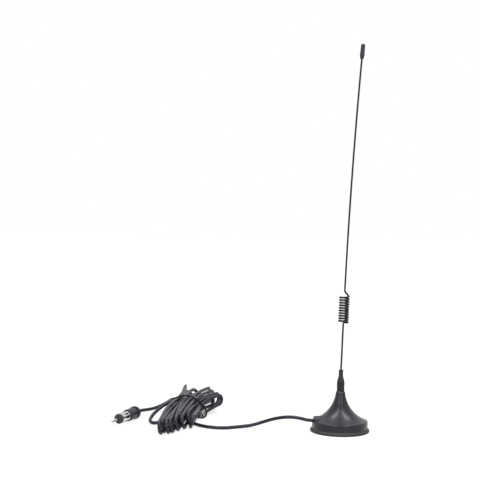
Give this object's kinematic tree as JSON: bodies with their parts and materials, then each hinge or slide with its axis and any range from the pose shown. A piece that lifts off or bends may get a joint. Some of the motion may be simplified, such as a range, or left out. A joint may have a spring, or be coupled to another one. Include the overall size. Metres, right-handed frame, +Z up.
{
  "type": "magnetic mount car antenna",
  "caption": "Car antenna with a round magnetic foot, a thin sprung whip with a wound loading coil, and a thin cable folded into a hank with an aerial plug on its end.",
  "frame": {"origin": "middle of the foot's underside, on the surface it holds on to", "axes": "+Z up along the foot's axis; the cable leaves the foot towards -X and the whip leans towards +X"},
  "size_m": [0.2536, 0.158, 0.3777],
  "materials": {
    "pad_rubber": "matte, moulded",
    "shell_plastic": "satin black",
    "plated_steel": "zinc plated",
    "ferrite": "sintered, dull",
    "brass": "turned",
    "tinned_brass": "tinned",
    "cable_jacket": "satin PVC",
    "core_insulation": "white, satin",
    "ferrule_metal": "black plated, knurled",
    "whip_metal": "black, satin",
    "tip_plastic": "satin black",
    "grip_plastic": "satin black",
    "plug_chrome": "bright plated",
    "bush_plastic": "black",
    "tie_plastic": "thin plastic strip with a wire inside"
  },
  "bodies": {
    "root": {"base_pad": "pad_rubber", "base_shell": "shell_plastic", "pole_cup": "plated_steel", "ring_magnet": "ferrite", "contact_stud": "brass", "lock_washer": "plated_steel", "stud_nut": "brass", "core_tag": "tinned_brass", "braid_clamp": "plated_steel", "clamp_screws": "plated_steel", "cable_grommet": "pad_rubber", "cable_tail": "cable_jacket", "core_lead": "core_insulation", "seal_washer": "pad_rubber", "whip_ferrule": "ferrule_metal", "whip_wire": "whip_metal", "tip_cap": "tip_plastic", "plug_body": "grip_plastic", "plug_sleeve": "plug_chrome", "plug_insulator": "bush_plastic", "plug_pin": "plug_chrome", "crimp_collar": "tinned_brass", "plug_cable_end": "cable_jacket", "plug_core": "core_insulation", "cable_hank": "cable_jacket", "twist_tie": "tie_plastic", "base_cable_run": "cable_jacket", "plug_cable_run": "cable_jacket"}
  },
  "joints": []
}
